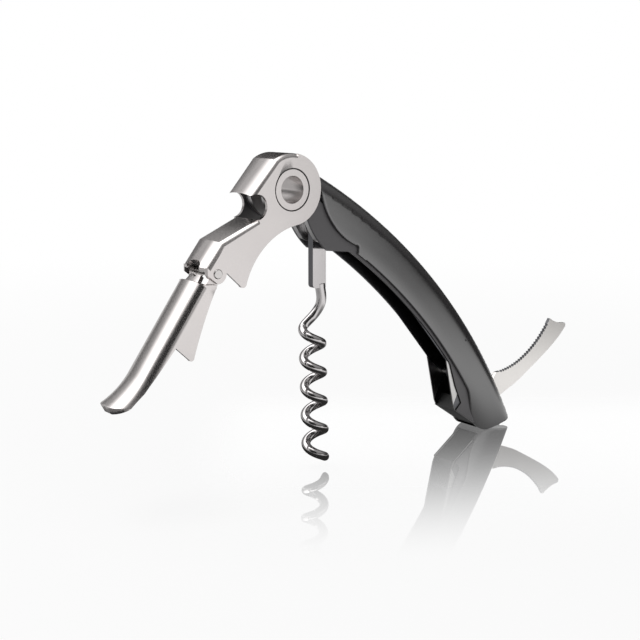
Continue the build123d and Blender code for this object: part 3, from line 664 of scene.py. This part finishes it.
knife_pivot = next(joint["pos_m"] for joint in frame["record"]["behaviour"]["joints"]
                   if joint["name"] == "knife_pivot")
knife_edge = np.array([(0.0049, 0.0093), (0.0089, 0.0096), (0.0143, 0.0109), (0.0197, 0.0134),
                       (0.0242, 0.0165), (0.0282, 0.0203), (0.0314, 0.0243)])
knife_edge += (knife_pivot[0], knife_pivot[2])
edge_steps = 20
edge_spots = np.concatenate([np.linspace(start, stop, edge_steps)
                             for start, stop in zip(knife_edge, knife_edge[1:])])
tooth_reach = 0.0006
flat_on = 0.5


def on_teeth(centres, normals):
    """True for the faces across the blade's thickness that lie close to its hollow edge."""
    gaps = np.linalg.norm(centres[:, None, [0, 2]] - edge_spots[None], axis=2).min(axis=1)
    return (np.abs(normals[:, 1]) < flat_on) & (gaps < tooth_reach)


blade_steel = steel("blade steel", colour=(0.84, 0.815, 0.79), roughness=0.33,
                    scratch_scale=(900.0, 5000.0, 9000.0), relief=0.06)
knife = dress("knife_blade", blade_steel, turned_edge)
second_finish(knife, spring_steel_and_shade, on_teeth)


# ---- Floor: a matt white board with a polished patch under the tool ----
# A painted board, which shows a soft-edged mirror image near the tool and is plain
# white beyond.  The steel's gloss sees a painted glow instead, with painted shade under and beyond the tool.

floor_height = cad_box[0][2]
floor_size = 6.0
plain_white = (1.0, 1.0, 1.0, 1.0)
bpy.ops.mesh.primitive_plane_add(size=floor_size, location=(0.0, 0.0, floor_height))
floor = bpy.context.object
floor.name = "floor"
floor_paint = bpy.data.materials.new("floor paint")
floor_paint.use_nodes = True
floor.data.materials.append(floor_paint)
paint = floor_paint.node_tree
paint.nodes.remove(paint.nodes["Principled BSDF"])
floor_place = node(paint, "ShaderNodeTexCoord").outputs["Object"]


def along(way):
    """The floor's place, taken from below the axle, times a direction: its dot product."""
    return node(paint, "ShaderNodeVectorMath", {"operation": "DOT_PRODUCT"},
                _0=floor_place, _1=way).outputs["Value"]


def smooth_step(tree, source, span, levels):
    """Runs smoothly from the first level to the second where source crosses the span."""
    return node(tree, "ShaderNodeMapRange", {"interpolation_type": "SMOOTHSTEP"}, Value=source,
                From_Min=span[0], From_Max=span[1], To_Min=levels[0], To_Max=levels[1]).outputs[0]


def times(tree, first, *others):
    """The product of several values."""
    for other in others:
        first = maths(tree, "MULTIPLY", first, other)
    return first


backwards = along((0.6225, 0.7826, 0.0))
rightwards = along((0.7826, -0.6225, 0.0))
front_right = along((0.66, -0.75, 0.0))
back_right = along((1.0, 0.9, 0.0))
radius = node(paint, "ShaderNodeVectorMath", {"operation": "LENGTH"}, _0=floor_place).outputs["Value"]
rising = (0.0, 1.0)
falling = (1.0, 0.0)

# The polished patch grows from the front edge and ends behind, round about and on the left.
mirror_share = 0.86
patch_front = (-0.060, 0.045)
patch_back = (0.055, 0.10)
patch_left = (-0.035, -0.005)
patch_round = (0.15, 0.30)
white_from = (0.1, 0.5)
near_white_share = 0.75
polish = times(paint, smooth_step(paint, backwards, patch_front, (0.0, mirror_share)),
               smooth_step(paint, radius, patch_round, falling),
               smooth_step(paint, backwards, patch_back, falling),
               smooth_step(paint, rightwards, patch_left, rising))
matt = node(paint, "ShaderNodeBsdfDiffuse", Color=(0.9, 0.9, 0.9, 1.0))
white = node(paint, "ShaderNodeEmission", Color=plain_white, Strength=1.0)
mirror = node(paint, "ShaderNodeBsdfAnisotropic", Color=plain_white, Roughness=0.0)
whiteness = smooth_step(paint, radius, white_from, (near_white_share, 1.0))
ground = node(paint, "ShaderNodeMixShader", _0=whiteness, _1=matt.outputs[0], _2=white.outputs[0])
sheen = node(paint, "ShaderNodeMixShader", _0=polish, _1=ground.outputs[0], _2=mirror.outputs[0])

# What the steel sees: a painted glow, brightest in front, dim beyond the foot, with painted shadow under the
# tool.
front_span = (-0.02, 0.14)
front_levels = (0.55, 1.15)
far_depth = 0.82
right_depth = 0.85
under_tool = (0.045, 0.12)
under_level = 0.06
far_dim = times(paint, smooth_step(paint, back_right, (-0.03, 0.03), (0.0, far_depth)),
                smooth_step(paint, radius, (0.12, 0.42), rising),
                smooth_step(paint, front_right, (0.0, 0.10), rising))
right_dim = times(paint, smooth_step(paint, back_right, (0.135, 0.20), (0.0, right_depth)),
                  smooth_step(paint, front_right, (0.08, 0.15), rising))
table = times(paint, smooth_step(paint, front_right, front_span, front_levels),
              maths(paint, "SUBTRACT", 1.0, far_dim), maths(paint, "SUBTRACT", 1.0, right_dim),
              smooth_step(paint, radius, under_tool, (under_level, 1.0)))
glow = node(paint, "ShaderNodeEmission", Color=plain_white, Strength=table)
floor_rays = node(paint, "ShaderNodeLightPath")
bounced = node(paint, "ShaderNodeMixShader", _0=floor_rays.outputs["Is Glossy Ray"], _1=matt.outputs[0],
               _2=glow.outputs[0])
choice = node(paint, "ShaderNodeMixShader", _0=floor_rays.outputs["Is Camera Ray"], _1=bounced.outputs[0],
              _2=sheen.outputs[0])
paint.links.new(choice.outputs[0], paint.nodes["Material Output"].inputs["Surface"])


# ---- Room: the white studio the tool stands in ----
# It is plain white to look at.  What the polished steel mirrors is shaped: a bright
# ceiling panel, softer walls and windows, and the dark side behind the viewer.

world = bpy.data.worlds.new("studio")
bpy.context.scene.world = world
world.use_nodes = True
world.cycles.sampling_method = "NONE"
sky = world.node_tree
sky_way = node(sky, "ShaderNodeTexCoord").outputs["Generated"]
sky_parts = node(sky, "ShaderNodeSeparateXYZ", _0=sky_way).outputs
sideways = maths(sky, "ABSOLUTE", sky_parts["Y"])


def lobe(way, span, levels):
    """A smooth step of brightness towards one direction of the room."""
    facing = node(sky, "ShaderNodeVectorMath", {"operation": "DOT_PRODUCT"}, _0=sky_way,
                  _1=tuple(Vector(way).normalized()))
    return smooth_step(sky, facing.outputs["Value"], span, levels)


studio = smooth_step(sky, sky_parts["Z"], (0.02, 0.75), (0.04, 0.42))
ceiling_panel = lobe((-0.45, 0.10, 0.88), (0.60, 0.88), (0.0, 2.2))
low_panel = lobe((0.57, -0.82, -0.05), (0.94, 0.99), (0.0, 1.1))
left_window = lobe((-0.95, 0.15, 0.15), (0.80, 0.96), (0.0, 0.55))
horizon = times(sky, smooth_step(sky, sideways, (0.50, 0.85), (0.0, 0.75)),
                smooth_step(sky, sky_parts["Z"], (0.08, 0.24), falling))
for panel in (ceiling_panel, low_panel, horizon, left_window):
    studio = maths(sky, "MAXIMUM", studio, panel)
behind_viewer = lobe((-0.60, -0.62, 0.45), (0.78, 0.92), (1.0, 0.09))
room_light = 0.8
sky_rays = node(sky, "ShaderNodeLightPath")
tone = node(sky, "ShaderNodeMix", {"data_type": "FLOAT"}, _0=sky_rays.outputs["Is Glossy Ray"],
            _2=room_light, _3=times(sky, studio, behind_viewer))
plainly_seen = maths(sky, "MAXIMUM", sky_rays.outputs["Is Camera Ray"], sky_rays.outputs["Is Singular Ray"])
level = maths(sky, "MAXIMUM", tone.outputs[0], plainly_seen)
sky.links.new(level, sky.nodes["Background"].inputs["Strength"])
sky.nodes["Background"].inputs["Color"].default_value = plain_white


# ---- Dark card and key lamp ----
# A black felt card stands behind the tool, where only the gloss of the cover and the
# steel sees it, and the floor doesn't.  One large soft lamp hangs high on the left.

card_height = 0.16
card_narrow = 0.78
card_place = (0.083, 0.083, 0.072)
card_turn = (radians(90.0), 0.0, radians(-38.5))
bpy.ops.mesh.primitive_plane_add(size=card_height, location=card_place, rotation=card_turn)
card = bpy.context.object
card.name = "dark_card"
card.scale = (card_narrow, 1.0, 1.0)
card.visible_camera = False
card.visible_diffuse = False
card.visible_shadow = False
card_paint = bpy.data.materials.new("card paint")
card_paint.use_nodes = True
felt = card_paint.node_tree
felt.nodes.remove(felt.nodes["Principled BSDF"])
black = node(felt, "ShaderNodeBsdfDiffuse", Color=(0.03, 0.03, 0.03, 1.0))
clear = node(felt, "ShaderNodeBsdfTransparent")
mirrored = node(felt, "ShaderNodeLightPath").outputs["Is Singular Ray"]
seen = node(felt, "ShaderNodeMixShader", _0=mirrored, _1=black.outputs[0], _2=clear.outputs[0])
felt.links.new(seen.outputs[0], felt.nodes["Material Output"].inputs["Surface"])
card.data.materials.append(card_paint)

lamp_place = Vector((-0.22, 0.10, 0.55))
lamp_target = Vector((0.03, 0.0, -0.04))
lamp_size = 0.35
lamp_power = 0.8
lamp_data = bpy.data.lights.new("key", "AREA")
lamp_data.size = lamp_size
lamp_data.energy = lamp_power
lamp = bpy.data.objects.new("key", lamp_data)
bpy.context.scene.collection.objects.link(lamp)
lamp.location = lamp_place
lamp.rotation_euler = (lamp_target - lamp_place).to_track_quat("-Z", "Y").to_euler()


# ---- Camera ----
# It stands low at the front left.  Its place follows from its direction and its
# distance, and from where the near end of the axle falls on the frame.

view_azimuth = radians(38.5)
view_elevation = radians(11.35)
focal_length = 61.875
frame_width = 36.0
frame_pixels = 640
axle_on_frame = (292.7, 189.8)
axle_face = Vector((0.0, -lever_half_width, 0.0))
axle_distance = 0.297
forward = Vector((sin(view_azimuth) * cos(view_elevation), cos(view_azimuth) * cos(view_elevation),
                  -sin(view_elevation)))
right = Vector((cos(view_azimuth), -sin(view_azimuth), 0.0))
up = right.cross(forward)
pixels_per_unit = focal_length / frame_width * frame_pixels
ray = (forward * pixels_per_unit + right * (axle_on_frame[0] - frame_pixels / 2)
       - up * (axle_on_frame[1] - frame_pixels / 2)).normalized()
camera_data = bpy.data.cameras.new("camera")
camera_data.lens = focal_length
camera_data.sensor_width = frame_width
camera_data.clip_start = 0.01
camera = bpy.data.objects.new("camera", camera_data)
bpy.context.scene.collection.objects.link(camera)
camera.matrix_world = Matrix.Translation(axle_face - ray * axle_distance) @ Matrix(
    (right, up, -forward)).transposed().to_4x4()
bpy.context.scene.camera = camera
bpy.context.scene.view_settings.view_transform = "Standard"
